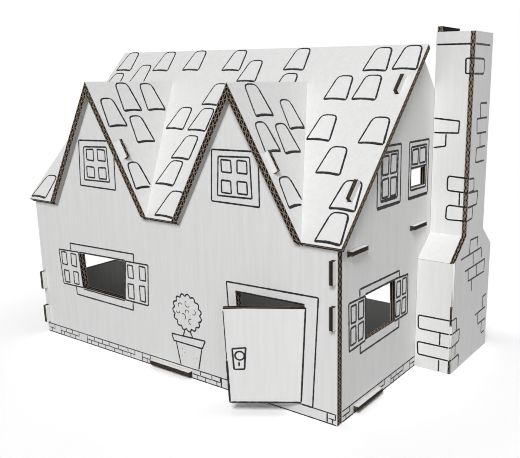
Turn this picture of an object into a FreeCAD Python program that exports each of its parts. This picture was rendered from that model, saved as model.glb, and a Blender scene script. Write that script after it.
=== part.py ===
"""Tabletop playhouse in double-wall corrugated board: nine sheets that slot together with tabs.

Millimetres, +Z up. The model is drawn in house coordinates: x = 0 midway between the side walls,
y = 0 on the front wall's printed face and growing towards the open back, z = 0 on the table.
At the end everything is shifted so that the origin is the bottom centre of the whole.
"""
import FreeCAD, Part
import math
import os

V = FreeCAD.Vector

# ---------------------------------------------------------------- board and joints
BOARD = 6.0              # double-wall board: side walls, main roof, floors and chimney
FRONT_BOARD = 8.0        # heavier double-wall board: front wall with its door, and dormer roofs
TAB_THICKNESS = 4.5      # wall tabs are pressed thinner so that they enter their slots
TAB_REACH = 5.5          # how far a tab stands out of the sheet that it passes through
SLOT_PLAY = 0.3          # gap all round a tab in its slot

# ---------------------------------------------------------------- house
HOUSE_WIDTH = 459.0
HOUSE_DEPTH = 326.0
WALL_HEIGHT = 179.0      # top edge of the front wall between its gables
ROOF_PITCH = math.radians(47.4)

# ---------------------------------------------------------------- main roof
ROOF_EAVE_OVERHANG = 3.0     # along the slope, past the front wall
ROOF_RIDGE_OVERHANG = 5.3    # along the slope, past the side walls' peaks
ROOF_RIGHT_OVERHANG = 8.0
ROOF_LEFT_OVERHANG = 3.0
ROOF_TAB_LENGTH = 22.0
ROOF_TAB_ABOVE_EAVE = 57.5       # tab centre, up the slope from the front wall
ROOF_TAB_BELOW_RIDGE = 51.8      # tab centre, down the slope from the side walls' peaks

# ---------------------------------------------------------------- dormers
LEFT_DORMER_CENTRE = 126.0       # in from the house's left side
LEFT_DORMER_HALF_SPAN = 86.0     # at the eave
RIGHT_DORMER_CENTRE = 122.0      # in from the house's right side
RIGHT_DORMER_HALF_SPAN = 85.5
DORMER_RIDGE_RISE = 147.0        # above the front wall's top edge
DORMER_OVERHANG = 6.0            # past the front wall
DORMER_TAB_LENGTH = 22.0
DORMER_TAB_DROP = 87.0       # tab centre, measured down the slope from the dormer's ridge

# ---------------------------------------------------------------- front wall openings
# corners (in from the house's left side, height)
FRONT_WINDOW = ((82.0, 74.5), (160.0, 73.5), (165.0, 121.5), (79.5, 119.0))
# the door's sides, in from the house's right side; its fold leans, so it is wider at its top
DOOR_HINGE_BOTTOM = 44.0
DOOR_HINGE_TOP = 37.5
DOOR_LATCH_BOTTOM = 120.2
DOOR_LATCH_TOP = 125.3
DOOR_SILL = 12.3
DOOR_HEAD_AT_HINGE = 117.1
DOOR_HEAD_AT_LATCH = 114.8
LEAF_WIDTH_BOTTOM = 75.5
LEAF_WIDTH_TOP = 84.1
LEAF_GAP = 1.0               # above and below the leaf
LEAF_OPEN_ANGLE = 31.7       # degrees
WALL_TAB_LENGTH = 23.0
RIGHT_WALL_TABS_BELOW_EAVE = (68.0, 23.5)        # their centres, below the front wall's top edge
LEFT_WALL_TAB_HEIGHTS = (26.5, 72.5)             # their centres, above the table

# ---------------------------------------------------------------- side wall openings
SIDE_WINDOW = ((52.0, 72.0), (115.5, 72.0), (113.5, 119.0), (51.0, 120.0))      # corners (y, z)
# corners (y behind the wall's peak, height above the front wall's top edge)
SASH_WINDOW = ((-17.0, 35.0), (18.0, 35.0), (17.5, 55.5), (-17.0, 54.5))

# ---------------------------------------------------------------- floor and loft
FLOOR_CLEARANCE = 3.0        # underside of the floor above the table
FRONT_FLOOR_TAB = (4.0, 63.0)                 # centre x, length
SIDE_FLOOR_TAB = (56.0, 51.0)                 # centre y, length
REAR_FLOOR_TAB = (26.0, 28.0)                 # centre in from the open back, length
LOFT_BELOW_EAVE = 12.5       # underside of the loft below the front wall's top edge
LOFT_DEPTH = 181.0
SIDE_LOFT_TABS = ((32.0, 30.0), (162.5, 31.0))

# ---------------------------------------------------------------- chimney
CHIMNEY_REACH = 45.0         # how far it stands out from the right wall
CHIMNEY_BEHIND_PEAK = 60.8   # its centre, behind the right wall's peak
CHIMNEY_BASE_WIDTH = 113.0
CHIMNEY_STACK_WIDTH = 51.3
SHOULDER_START = 130.8
SHOULDER_END = 156.0
CHIMNEY_HEIGHT = 378.2
BACK_PANEL_RISE = 6.0        # the panel against the house stands above the other three
BACK_PANEL_MARGIN = 2.0
FOLD_RADIUS = 3.5            # outside of the two lower folds
FOLD_SLITS = ((0.0, 16.5), (58.0, 81.0))      # cut through the front fold, from z to z
SLIT_WIDTH = 1.4
CHIMNEY_TABS = (75.0, 232.0)
CHIMNEY_TAB_LENGTH = 34.0

# ---------------------------------------------------------------- worked out from the above
OUTER = HOUSE_WIDTH / 2
INNER = OUTER - BOARD
UP_SLOPE = V(0, math.cos(ROOF_PITCH), math.sin(ROOF_PITCH))
OFF_SLOPE = V(0, -math.sin(ROOF_PITCH), math.cos(ROOF_PITCH))
SLOPE_FOOT = V(0, 0, WALL_HEIGHT)                # on the roof's underside, over the front wall
PEAK_HEIGHT = WALL_HEIGHT + math.tan(ROOF_PITCH) * HOUSE_DEPTH / 2
SLOPE_LENGTH = HOUSE_DEPTH / 2 / math.cos(ROOF_PITCH)
ROOF_TAB_PLACES = (ROOF_TAB_ABOVE_EAVE, SLOPE_LENGTH - ROOF_TAB_BELOW_RIDGE)
EAVE = SLOPE_FOOT - UP_SLOPE * ROOF_EAVE_OVERHANG + OFF_SLOPE * BOARD    # outer lower edge of the roof
FAR = 2 * (HOUSE_WIDTH + HOUSE_DEPTH)            # longer than anything, for cutting tools
DORMERS = {      # centre x, half span at the eave
    "left_dormer_roof": (LEFT_DORMER_CENTRE - OUTER, LEFT_DORMER_HALF_SPAN),
    "right_dormer_roof": (OUTER - RIGHT_DORMER_CENTRE, RIGHT_DORMER_HALF_SPAN),
}
DORMER_RIDGE_HEIGHT = WALL_HEIGHT + DORMER_RIDGE_RISE
RIGHT_WALL_TAB_HEIGHTS = [WALL_HEIGHT - drop for drop in RIGHT_WALL_TABS_BELOW_EAVE]
SIDE_FLOOR_TABS = (SIDE_FLOOR_TAB, (HOUSE_DEPTH - REAR_FLOOR_TAB[0], REAR_FLOOR_TAB[1]))
LOFT_UNDERSIDE = WALL_HEIGHT - LOFT_BELOW_EAVE
CHIMNEY_CENTRE = HOUSE_DEPTH / 2 + CHIMNEY_BEHIND_PEAK


def plate(corners, thickness):
    """A flat sheet: the outline through corners, given thickness as a vector."""
    outline = Part.makePolygon(list(corners) + [corners[0]])
    return Part.Face(outline).extrude(thickness)


def block(x, y, z):
    """A box between three (low, high) pairs."""
    return Part.makeBox(x[1] - x[0], y[1] - y[0], z[1] - z[0], V(x[0], y[0], z[0]))


def span(centre, length, play=0.0):
    return (centre - length / 2 - play, centre + length / 2 + play)


def slanted_block(foot, along, off, across, along_span, off_span, across_span):
    """A box in a tilted frame: three unit vectors from foot, and a (low, high) pair along each."""
    corner = foot + along * along_span[0] + off * off_span[0] + across * across_span[0]
    side = along * (along_span[1] - along_span[0])
    rise = off * (off_span[1] - off_span[0])
    base = [corner, corner + side, corner + side + rise, corner + rise]
    return plate(base, across * (across_span[1] - across_span[0]))


def dormer_slope(half_span, side):
    """Unit vectors down one dormer slope and away from it; side is -1 on the left, +1 on the right."""
    drop = DORMER_RIDGE_HEIGHT - EAVE.z
    length = math.hypot(half_span, drop)
    down = V(side * half_span / length, 0, -drop / length)
    off = V(side * drop / length, 0, half_span / length)
    return down, off


def dormer_wedge(centre, half_span, inset, y_span, foot=0.0):
    """The triangular prism under a dormer's slopes and above z = foot, inset square to the slopes."""
    slope = (DORMER_RIDGE_HEIGHT - EAVE.z) / half_span
    peak = DORMER_RIDGE_HEIGHT - inset * math.hypot(1, slope)
    half_base = (peak - foot) / slope
    corners = [V(centre - half_base, y_span[0], foot), V(centre + half_base, y_span[0], foot),
               V(centre, y_span[0], peak)]
    return plate(corners, V(0, y_span[1] - y_span[0], 0))


def roof_tabs(play=0.0):
    """The right wall's tabs through the main roof, or their slots when given play."""
    reach = (-BOARD, BOARD + TAB_REACH + play)
    thickness = (INNER - play, INNER + TAB_THICKNESS + play)
    return [slanted_block(SLOPE_FOOT, UP_SLOPE, OFF_SLOPE, V(1, 0, 0),
                          span(place, ROOF_TAB_LENGTH, play), reach, thickness)
            for place in ROOF_TAB_PLACES]


def front_tabs(x_span, heights, play=0.0):
    """A side wall's tabs through the front wall, or their slots when given play."""
    return [block((x_span[0] - play, x_span[1] + play), (-TAB_REACH - play, FRONT_BOARD),
                  span(height, WALL_TAB_LENGTH, play)) for height in heights]


def dormer_tabs(play=0.0):
    """The front wall's tabs through the dormer roofs, or their slots when given play."""
    tabs = []
    for centre, half_span in DORMERS.values():
        for side in (-1, 1):
            down, off = dormer_slope(half_span, side)
            ridge = V(centre, 0, DORMER_RIDGE_HEIGHT)
            tabs.append(slanted_block(ridge, down, off, V(0, 1, 0),
                                      span(DORMER_TAB_DROP, DORMER_TAB_LENGTH, play),
                                      (-2 * FRONT_BOARD, TAB_REACH + play),
                                      (-play, TAB_THICKNESS + play)))
    return tabs


def floor_tabs(play=0.0):
    """The floor's tabs. With play they are notches that stay open to the table."""
    low = 0.0 if play else FLOOR_CLEARANCE
    z = (low, FLOOR_CLEARANCE + BOARD + play)
    reach = BOARD + TAB_REACH
    tabs = [block(span(*FRONT_FLOOR_TAB, play), (-TAB_REACH, FRONT_BOARD), z)]
    for centre, length in SIDE_FLOOR_TABS:
        for x in ((INNER, INNER + reach), (-INNER - reach, -INNER)):
            tabs.append(block(x, span(centre, length, play), z))
    return tabs


def loft_tabs(play=0.0):
    z = (LOFT_UNDERSIDE - play, LOFT_UNDERSIDE + BOARD + play)
    reach = BOARD + TAB_REACH
    tabs = []
    for centre, length in SIDE_LOFT_TABS:
        for x in ((INNER, INNER + reach), (-INNER - reach, -INNER)):
            tabs.append(block(x, span(centre, length, play), z))
    return tabs


def chimney_tabs(play=0.0):
    """The chimney's tabs, which pass inwards through the right wall."""
    return [block((INNER - TAB_REACH, OUTER), span(CHIMNEY_CENTRE, CHIMNEY_TAB_LENGTH, play),
                  span(height, BOARD, play)) for height in CHIMNEY_TABS]


def cut_all(shape, tools):
    return shape.cut(Part.makeCompound(tools))


def fuse_all(shape, extras):
    return shape.fuse(extras).removeSplitter()


def door_leaf():
    """The leaf swings out about the back liner, so the fold is a valley on the printed side."""
    hinge_foot = V(OUTER - DOOR_HINGE_BOTTOM, FRONT_BOARD, DOOR_SILL)
    hinge_head = V(OUTER - DOOR_HINGE_TOP, FRONT_BOARD, DOOR_HEAD_AT_HINGE)
    low = DOOR_SILL + LEAF_GAP
    corners = [V(hinge_foot.x - LEAF_WIDTH_BOTTOM, 0, low), V(hinge_foot.x, 0, low),
               V(hinge_head.x, 0, DOOR_HEAD_AT_HINGE - LEAF_GAP),
               V(hinge_head.x - LEAF_WIDTH_TOP, 0, DOOR_HEAD_AT_LATCH - LEAF_GAP)]
    leaf = plate(corners, V(0, FRONT_BOARD, 0))
    leaf.rotate(hinge_foot, hinge_head - hinge_foot, LEAF_OPEN_ANGLE)
    return leaf


def front_wall():
    thickness = (0, FRONT_BOARD)
    wall = block((-OUTER, OUTER), thickness, (0, WALL_HEIGHT))
    gables = [dormer_wedge(centre, half_span, FRONT_BOARD, thickness, WALL_HEIGHT)
              for centre, half_span in DORMERS.values()]
    wall = fuse_all(wall, gables + dormer_tabs())
    window = [(x - OUTER, z) for x, z in FRONT_WINDOW]
    door = [(OUTER - DOOR_LATCH_BOTTOM, DOOR_SILL), (OUTER - DOOR_HINGE_BOTTOM, DOOR_SILL),
            (OUTER - DOOR_HINGE_TOP, DOOR_HEAD_AT_HINGE), (OUTER - DOOR_LATCH_TOP, DOOR_HEAD_AT_LATCH)]
    holes = [plate([V(x, -1, z) for x, z in outline], V(0, FRONT_BOARD + 2, 0))
             for outline in (window, door)]
    holes += front_tabs((INNER, INNER + TAB_THICKNESS), RIGHT_WALL_TAB_HEIGHTS, SLOT_PLAY)
    holes += front_tabs((-INNER - TAB_THICKNESS, -INNER), LEFT_WALL_TAB_HEIGHTS, SLOT_PLAY)
    holes += floor_tabs(SLOT_PLAY)[:1]
    return fuse_all(cut_all(wall, holes), [door_leaf()])


def side_wall(side, tab_heights):
    """side is -1 on the left and +1 on the right, where the wall also holds the roof and the chimney."""
    x = side * INNER
    front = FRONT_BOARD
    outline = [V(x, front, 0), V(x, HOUSE_DEPTH, 0), V(x, HOUSE_DEPTH, WALL_HEIGHT),
               V(x, HOUSE_DEPTH / 2, PEAK_HEIGHT),
               V(x, front, WALL_HEIGHT + math.tan(ROOF_PITCH) * front)]
    wall = plate(outline, V(side * BOARD, 0, 0))
    tab_span = tuple(sorted((x, x + side * TAB_THICKNESS)))
    tabs = front_tabs(tab_span, tab_heights)
    if side > 0:
        tabs += roof_tabs()
    wall = fuse_all(wall, tabs)
    sash = [(HOUSE_DEPTH / 2 + y, WALL_HEIGHT + z) for y, z in SASH_WINDOW]
    holes = [plate([V(x - side, y, z) for y, z in opening], V(side * (BOARD + 2), 0, 0))
             for opening in (SIDE_WINDOW, sash)]
    holes += floor_tabs(SLOT_PLAY) + loft_tabs(SLOT_PLAY)
    if side > 0:
        holes += chimney_tabs(SLOT_PLAY)
    return cut_all(wall, holes)


def main_roof():
    corner = SLOPE_FOOT - UP_SLOPE * ROOF_EAVE_OVERHANG
    roof = slanted_block(corner, UP_SLOPE, OFF_SLOPE, V(1, 0, 0),
                         (0, ROOF_EAVE_OVERHANG + SLOPE_LENGTH + ROOF_RIDGE_OVERHANG), (0, BOARD),
                         (-OUTER - ROOF_LEFT_OVERHANG, OUTER + ROOF_RIGHT_OVERHANG))
    notches = [dormer_wedge(centre, half_span, 0, (-BOARD * 4, HOUSE_DEPTH))
               for centre, half_span in DORMERS.values()]
    return cut_all(roof, notches + roof_tabs(SLOT_PLAY))


def dormer_roof(centre, half_span):
    """One sheet folded at the ridge, trimmed where it lands in the main roof's notch."""
    y_span = (-DORMER_OVERHANG, HOUSE_DEPTH)
    folded = dormer_wedge(centre, half_span, 0, y_span)
    folded = folded.cut(dormer_wedge(centre, half_span, FRONT_BOARD, (y_span[0] - 1, y_span[1] + 1)))
    above_roof = slanted_block(SLOPE_FOOT, UP_SLOPE, OFF_SLOPE, V(1, 0, 0),
                               (-ROOF_EAVE_OVERHANG, FAR), (0, FAR), (-FAR, FAR))
    return cut_all(folded.common(above_roof), dormer_tabs(SLOT_PLAY))


def floor_panel():
    floor = block((-INNER, INNER), (FRONT_BOARD, HOUSE_DEPTH), (FLOOR_CLEARANCE, FLOOR_CLEARANCE + BOARD))
    return fuse_all(floor, floor_tabs())


def loft_floor():
    loft = block((-INNER, INNER), (FRONT_BOARD, FRONT_BOARD + LOFT_DEPTH),
                 (LOFT_UNDERSIDE, LOFT_UNDERSIDE + BOARD))
    return fuse_all(loft, loft_tabs())


def chimney_profile(inset, low, high):
    """The chimney's side view as (y, z) corners, inset by a distance square to every panel."""
    run = (CHIMNEY_BASE_WIDTH - CHIMNEY_STACK_WIDTH) / 2
    rise = SHOULDER_END - SHOULDER_START
    shift = inset * (math.hypot(run, rise) - rise) / run    # keeps the shoulder's wall one board thick
    base = CHIMNEY_BASE_WIDTH / 2 - inset
    stack = CHIMNEY_STACK_WIDTH / 2 - inset
    right = [(base, low), (base, SHOULDER_START - shift), (stack, SHOULDER_END - shift), (stack, high)]
    left = [(-y, z) for y, z in reversed(right)]
    return [(CHIMNEY_CENTRE + y, z) for y, z in right + left]


def chimney():
    """One sheet wrapped round four sides, creased at the shoulders."""
    x = OUTER
    shell = plate([V(x, y, z) for y, z in chimney_profile(0, 0, CHIMNEY_HEIGHT)], V(CHIMNEY_REACH, 0, 0))
    lower_folds = [edge for edge in shell.Edges
                   if edge.BoundBox.XMin > x + BOARD and edge.BoundBox.ZMin < BOARD
                   and edge.BoundBox.YLength < BOARD < edge.BoundBox.ZLength]
    shell = shell.makeFillet(FOLD_RADIUS, lower_folds)
    hollow = plate([V(x + BOARD, y, z) for y, z in chimney_profile(BOARD, -1, CHIMNEY_HEIGHT + 1)],
                   V(CHIMNEY_REACH - 2 * BOARD, 0, 0))
    lip = block((x, x + BOARD), span(CHIMNEY_CENTRE, CHIMNEY_STACK_WIDTH - 2 * BACK_PANEL_MARGIN),
                (CHIMNEY_HEIGHT - BOARD, CHIMNEY_HEIGHT + BACK_PANEL_RISE))
    front_fold = CHIMNEY_CENTRE - CHIMNEY_BASE_WIDTH / 2
    slits = [block((x + CHIMNEY_REACH - BOARD / 2, x + CHIMNEY_REACH + 1),
                   (front_fold - 1, front_fold + SLIT_WIDTH), slit) for slit in FOLD_SLITS]
    # where a floor or loft tab comes out behind the chimney, its back panel is slotted for it too
    slots = floor_tabs(SLOT_PLAY) + loft_tabs(SLOT_PLAY)
    return fuse_all(cut_all(shell, [hollow] + slits + slots), [lip] + chimney_tabs())


def build():
    pieces = {
        "floor_panel": floor_panel(),
        "front_wall": front_wall(),
        "left_wall": side_wall(-1, LEFT_WALL_TAB_HEIGHTS),
        "right_wall": side_wall(1, RIGHT_WALL_TAB_HEIGHTS),
        "loft_floor": loft_floor(),
        "main_roof": main_roof(),
        "chimney": chimney(),
    }
    for name, (centre, half_span) in DORMERS.items():
        pieces[name] = dormer_roof(centre, half_span)
    return pieces


os.makedirs("parts", exist_ok=True)
PIECES = build()
WHOLE = Part.makeCompound(list(PIECES.values())).BoundBox
ORIGIN_SHIFT = V(-WHOLE.Center.x, -WHOLE.Center.y, -WHOLE.ZMin)
for node, shape in PIECES.items():
    shape.translate(ORIGIN_SHIFT)
    shape.exportStep("parts/" + node + ".step")
    box = shape.BoundBox
    print("%-18s solids %d valid %s volume %.1f cm3 x %.1f..%.1f y %.1f..%.1f z %.1f..%.1f" % (
        node, len(shape.Solids), shape.isValid(), shape.Volume / 1000,
        box.XMin, box.XMax, box.YMin, box.YMax, box.ZMin, box.ZMax))
print("origin shift", ORIGIN_SHIFT)
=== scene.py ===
# %% [markdown]
# # A slot-together playhouse in corrugated board
#
# The real thing is nine sheets of white-lined double-wall board. Each sheet is five papers glued
# together: a liner, a wave, a liner, a wave and a liner. Every cut edge shows the two rows of waves,
# and that is what tells the eye that the house is cardboard. An edge could be painted with a pattern
# of dots, but that would be flat. So this script slices each CAD sheet into its papers and folds the
# waves for real.
#
# Distances are in millimetres, counted from the house's front left corner at table level, because
# that is how such a sheet is drawn. A finished mesh is turned into metres in the model's frame at
# the very end, by the matrix `HOUSE`. Small numbers such as 0.0003 m also upset some of Blender's
# mesh operators, so working in millimetres is safer as well as easier to read.

# %% Load the frame
import itertools
import math
import random

import bmesh
import bpy
from mathutils import Matrix, Vector


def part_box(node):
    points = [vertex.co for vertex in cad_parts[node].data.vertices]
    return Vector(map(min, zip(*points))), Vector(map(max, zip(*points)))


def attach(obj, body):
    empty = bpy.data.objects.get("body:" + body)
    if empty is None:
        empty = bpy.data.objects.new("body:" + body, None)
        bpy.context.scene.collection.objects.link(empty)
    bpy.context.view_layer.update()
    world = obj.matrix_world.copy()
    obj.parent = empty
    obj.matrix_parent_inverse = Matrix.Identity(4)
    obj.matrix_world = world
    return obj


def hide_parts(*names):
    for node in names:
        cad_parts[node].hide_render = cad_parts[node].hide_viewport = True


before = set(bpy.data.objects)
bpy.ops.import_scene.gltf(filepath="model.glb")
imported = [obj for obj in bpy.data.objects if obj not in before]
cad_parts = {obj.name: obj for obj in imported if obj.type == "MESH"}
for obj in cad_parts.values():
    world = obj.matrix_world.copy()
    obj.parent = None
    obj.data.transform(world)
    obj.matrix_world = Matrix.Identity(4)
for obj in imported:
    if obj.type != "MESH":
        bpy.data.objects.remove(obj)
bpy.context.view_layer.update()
MM = 0.001
X, Y, Z = Vector((1, 0, 0)), Vector((0, 1, 0)), Vector((0, 0, 1))

printed_face = max((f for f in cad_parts["front_wall"].data.polygons if f.normal.y < -0.99),
                   key=lambda f: f.area)
left_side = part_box("left_wall")[0].x
HOUSE = Matrix.Translation((left_side, printed_face.center.y, 0)) @ Matrix.Scale(MM, 4)


def in_house(point):
    return HOUSE.inverted() @ point


def house_box(node):
    """A CAD node's lowest and highest corners, in millimetres from the house's corner."""
    low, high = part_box(node)
    return in_house(low), in_house(high)


left_wall_high = house_box("left_wall")[1]
WIDTH = house_box("right_wall")[1].x
DEPTH = left_wall_high.y
PEAK = left_wall_high.z                              # top of the side walls
BOARD = left_wall_high.x                             # side walls, roof, floors and chimney
FRONT_BOARD = house_box("loft_floor")[0].y           # front wall and dormers, which are heavier board
side_outline = [in_house(v.co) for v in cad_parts["left_wall"].data.vertices]
EAVE = max(p.z for p in side_outline if p.y > DEPTH - 0.01)
PITCH = math.atan((PEAK - EAVE) / (DEPTH / 2))
UP_SLOPE = Vector((0, math.cos(PITCH), math.sin(PITCH)))
OFF_SLOPE = Vector((0, -math.sin(PITCH), math.cos(PITCH)))
print("house %.0f x %.0f mm, eaves %.0f, peak %.0f" % (WIDTH, DEPTH, EAVE, PEAK))
print("board %.1f, front board %.1f" % (BOARD, FRONT_BOARD))

# %% [markdown]
# ## The papers of the board
#
# A cut edge looks brown because only the outer liners are light: white outdoors, and towards the
# rooms a grey that is painted shade for the dim rooms. All the glued sides and the waves are bare
# kraft, given a near-black colour that is painted shade for the dark down in the flutes. The kraft that a
# blade went through catches the light and keeps kraft's own, much paler brown, and the edges of a tab that
# was pressed flat get a dark colour, painted shade. So the board needs five looks, and the ink is a sixth.
#
# Paper is never of one even colour. A picture of paper could be laid on the sheets, but noise
# between two close colours needs no file and never repeats. On the liners it is stretched into faint
# upright streaks, and a little bump from the same noise breaks the light up.

# %% How a paper looks
UPRIGHT = (1, 1, 0.05)    # stretches noise into streaks up and down
BUMP_DEPTH = 0.0002       # metres


def mottled(tree, dark, light, scale, stretch):
    """Noise between two close colours. Gives its colour, and its grey value for a bump."""
    where = tree.nodes.new("ShaderNodeTexCoord")
    mapping = tree.nodes.new("ShaderNodeMapping")
    mapping.inputs["Scale"].default_value = stretch
    noise = tree.nodes.new("ShaderNodeTexNoise")
    noise.inputs["Scale"].default_value = scale
    noise.inputs["Detail"].default_value = 6
    noise.inputs["Roughness"].default_value = 0.65
    ramp = tree.nodes.new("ShaderNodeValToRGB")
    for stop, place, colour in zip(ramp.color_ramp.elements, (0.3, 0.7), (dark, light)):
        stop.position = place
        stop.color = (*colour, 1)
    tree.links.new(where.outputs["Object"], mapping.inputs["Vector"])
    tree.links.new(mapping.outputs["Vector"], noise.inputs["Vector"])
    tree.links.new(noise.outputs["Fac"], ramp.inputs["Fac"])
    return ramp.outputs["Color"], noise.outputs["Fac"]


def surface(name, dark, light, scale, roughness=0.9, specular=0.1, stretch=(1, 1, 1), bump=0.0,
            depth=BUMP_DEPTH):
    """A matt surface whose colour drifts between dark and light. Fine detail has a high scale."""
    made = bpy.data.materials.new(name)
    made.use_nodes = True
    tree = made.node_tree
    shader = tree.nodes["Principled BSDF"]
    shader.inputs["Roughness"].default_value = roughness
    shader.inputs["Specular IOR Level"].default_value = specular
    colour, grey = mottled(tree, dark, light, scale, stretch)
    tree.links.new(colour, shader.inputs["Base Color"])
    if bump:
        relief = tree.nodes.new("ShaderNodeBump")
        relief.inputs["Strength"].default_value = bump
        relief.inputs["Distance"].default_value = depth
        tree.links.new(grey, relief.inputs["Height"])
        tree.links.new(relief.outputs["Normal"], shader.inputs["Normal"])
    return made

# %% The five papers and the ink
WHITE = surface("white_liner", (0.765, 0.765, 0.76), (0.825, 0.825, 0.82), 260, roughness=0.75,
                specular=0.3, stretch=UPRIGHT, bump=0.15)
# painted shade: the indoor liner is given a grey, darker than its own white, for the dim rooms
INDOOR_SHADE_GREY = surface("grey_lining_painted_shade", (0.34, 0.34, 0.33), (0.42, 0.42, 0.41), 260, roughness=0.85,
                 specular=0.2, stretch=UPRIGHT, bump=0.15)
# painted shade: kraft is given a near-black colour for the dark down in flutes and crevices, not its own
# brown
KRAFT_PAINTED_SHADE = surface("kraft_painted_shade", (0.012, 0.0095, 0.007), (0.024, 0.019, 0.014), 900, bump=0.4, depth=0.0003)
CUT = surface("cut_edge", (0.20, 0.163, 0.128), (0.37, 0.31, 0.25), 1200, bump=0.4)
# painted shade: the edges of pressed tabs are given a dark colour for the shadow they lie in
TAB_EDGE_SHADE = surface("tab_edge_painted_shade", (0.045, 0.036, 0.027), (0.105, 0.085, 0.066), 1200)
INK = surface("black_ink", (0.008, 0.008, 0.009), (0.02, 0.02, 0.021), 400, roughness=0.55, specular=0.25)
print("looks:", ", ".join(look.name for look in (WHITE, KRAFT_PAINTED_SHADE, CUT, TAB_EDGE_SHADE, INDOOR_SHADE_GREY, INK)))

# %% [markdown]
# ## Slicing a sheet into its papers
#
# The CAD sheet is a closed solid with every slot, window and tab cut through it. Cutting that solid
# with a plane a little below its printed face gives exactly the outline one paper has at that depth,
# holes and all. So each paper starts as such a slice, filled in, and nothing is drawn twice.
#
# A liner is the slice given the thickness of paper. A wave starts as the same slice, is cut into
# narrow strips that run along the flutes, and then each line between strips is raised or lowered to
# follow a sine. Because the strips end where the slice ends, the waves are cut off cleanly at every
# edge of the sheet, square to it or aslant.

# %% A sheet and its axes
class Sheet:
    """One flat stretch of board: its printed face's plane, with axes to draw on it.

    out and up say roughly which way the face looks and which way is up on it, and origin lies near
    it. The flutes run up the face or across it.
    """

    def __init__(self, node, out, up, origin, flutes):
        def gap(face):
            return abs((in_house(face.center) - origin).dot(face.normal))

        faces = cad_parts[node].data.polygons
        best = min((f for f in faces if f.normal.dot(out.normalized()) > 0.97), key=gap)
        self.node = node
        self.out = best.normal.normalized()
        self.up = (up - self.out * up.dot(self.out)).normalized()
        self.right = self.up.cross(self.out)
        self.origin = origin - self.out * (origin - in_house(best.center)).dot(self.out)
        self.flutes = self.right if flutes == "across" else self.up

    def matrix(self):
        """Takes a drawing on the xy plane to this face."""
        turn = Matrix((self.right, self.up, self.out)).transposed().to_4x4()
        return Matrix.Translation(self.origin) @ turn

# %% Cutting
WELD = 0.002              # joins the corners of the CAD's loose triangles
CLOSE = 1e-4              # how near to a cutting plane counts as on it


def geometry(bm):
    return bm.verts[:] + bm.edges[:] + bm.faces[:]


def keep_side(bm, point, direction):
    """Cuts off whatever lies behind the plane through point that faces along direction."""
    bmesh.ops.bisect_plane(bm, geom=geometry(bm), dist=CLOSE, plane_co=point, plane_no=direction,
                           clear_inner=True)


def mitre(sheet, other, valley=False):
    """The plane that halves the fold between two sheets, as a clip that keeps the first one.

    A valley is a fold that is hollow on the printed side.
    """
    fold = sheet.out.cross(other.out)
    across = fold.cross(sheet.out)
    shared = sheet.origin + across * (other.origin - sheet.origin).dot(other.out) / across.dot(other.out)
    return shared, (other.out - sheet.out if valley else sheet.out - other.out).normalized()


def slice_of(sheet, depth, clips):
    """The outline that the CAD sheet has at a depth below its printed face, filled in."""
    bm = bmesh.new()
    bm.from_mesh(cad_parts[sheet.node].data)
    bm.transform(HOUSE.inverted())
    bmesh.ops.remove_doubles(bm, verts=bm.verts[:], dist=WELD)
    bmesh.ops.bisect_plane(bm, geom=geometry(bm), dist=CLOSE, plane_co=sheet.origin - sheet.out * depth,
                           plane_no=sheet.out, clear_outer=True, clear_inner=True)
    bmesh.ops.remove_doubles(bm, verts=bm.verts[:], dist=WELD)
    bmesh.ops.triangle_fill(bm, use_beauty=True, use_dissolve=False, edges=bm.edges[:], normal=sheet.out)
    for face in bm.faces:
        if face.normal.dot(sheet.out) < 0:
            face.normal_flip()
    for clip in clips:
        if callable(clip):
            clip(bm)
        else:
            keep_side(bm, *clip)
    return bm


def cut_along_flutes(bm, across, step):
    """Cuts the flat slice wherever it crosses a multiple of step, measured along across."""
    def reach(face):
        return max(v.co.dot(across) for v in face.verts)

    start = min(v.co.dot(across) for v in bm.verts)
    stop = max(v.co.dot(across) for v in bm.verts)
    ahead = bm.faces[:]
    for k in range(math.floor(start / step) + 1, math.ceil(stop / step)):
        edges = {e for f in ahead for e in f.edges}
        verts = {v for f in ahead for v in f.verts}
        cut = bmesh.ops.bisect_plane(bm, geom=[*verts, *edges, *ahead], dist=CLOSE,
                                     plane_co=across * (k * step), plane_no=across)
        pieces = [f for f in cut["geom"] if isinstance(f, bmesh.types.BMFace)]
        ahead = [f for f in pieces if reach(f) > k * step + 1e-3]

# %% Liners and waves
LINER = 0.6               # thickness of one liner, swollen a little where it was cut
WAVE_PAPER = 0.65         # thickness of the paper in a wave
FLUTE_PITCH = 7.1         # from crest to crest
STEPS_PER_FLUTE = 8


def thicken(bm, out, thickness):
    """Turns a thin surface into paper, half of its thickness to each side."""
    bmesh.ops.translate(bm, verts=bm.verts[:], vec=out * thickness / 2)
    bmesh.ops.solidify(bm, geom=bm.faces[:], thickness=thickness)


def liner(sheet, depth, clips):
    bm = slice_of(sheet, depth + LINER / 2, clips)
    thicken(bm, sheet.out, LINER)
    return bm


def wave(sheet, depth, height, turn, clips):
    """A wave between two liners. turn shifts its crests by a part of the pitch."""
    bm = slice_of(sheet, depth + height / 2, clips)
    if not bm.faces:
        return bm
    across = sheet.flutes.cross(sheet.out)
    cut_along_flutes(bm, across, FLUTE_PITCH / STEPS_PER_FLUTE)
    swing = (height - WAVE_PAPER) / 2
    for v in bm.verts:
        v.co += sheet.out * swing * math.sin(2 * math.pi * (v.co.dot(across) / FLUTE_PITCH + turn))
    thicken(bm, sheet.out, WAVE_PAPER)
    return bm

# %% A whole board
TAB = 4.5                 # thickness of a pressed tab
PAPERS = {"white": WHITE, "kraft": KRAFT_PAINTED_SHADE, "cut": CUT, "grey": INDOOR_SHADE_GREY, "shaded_tab_edge": TAB_EDGE_SHADE}


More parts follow.
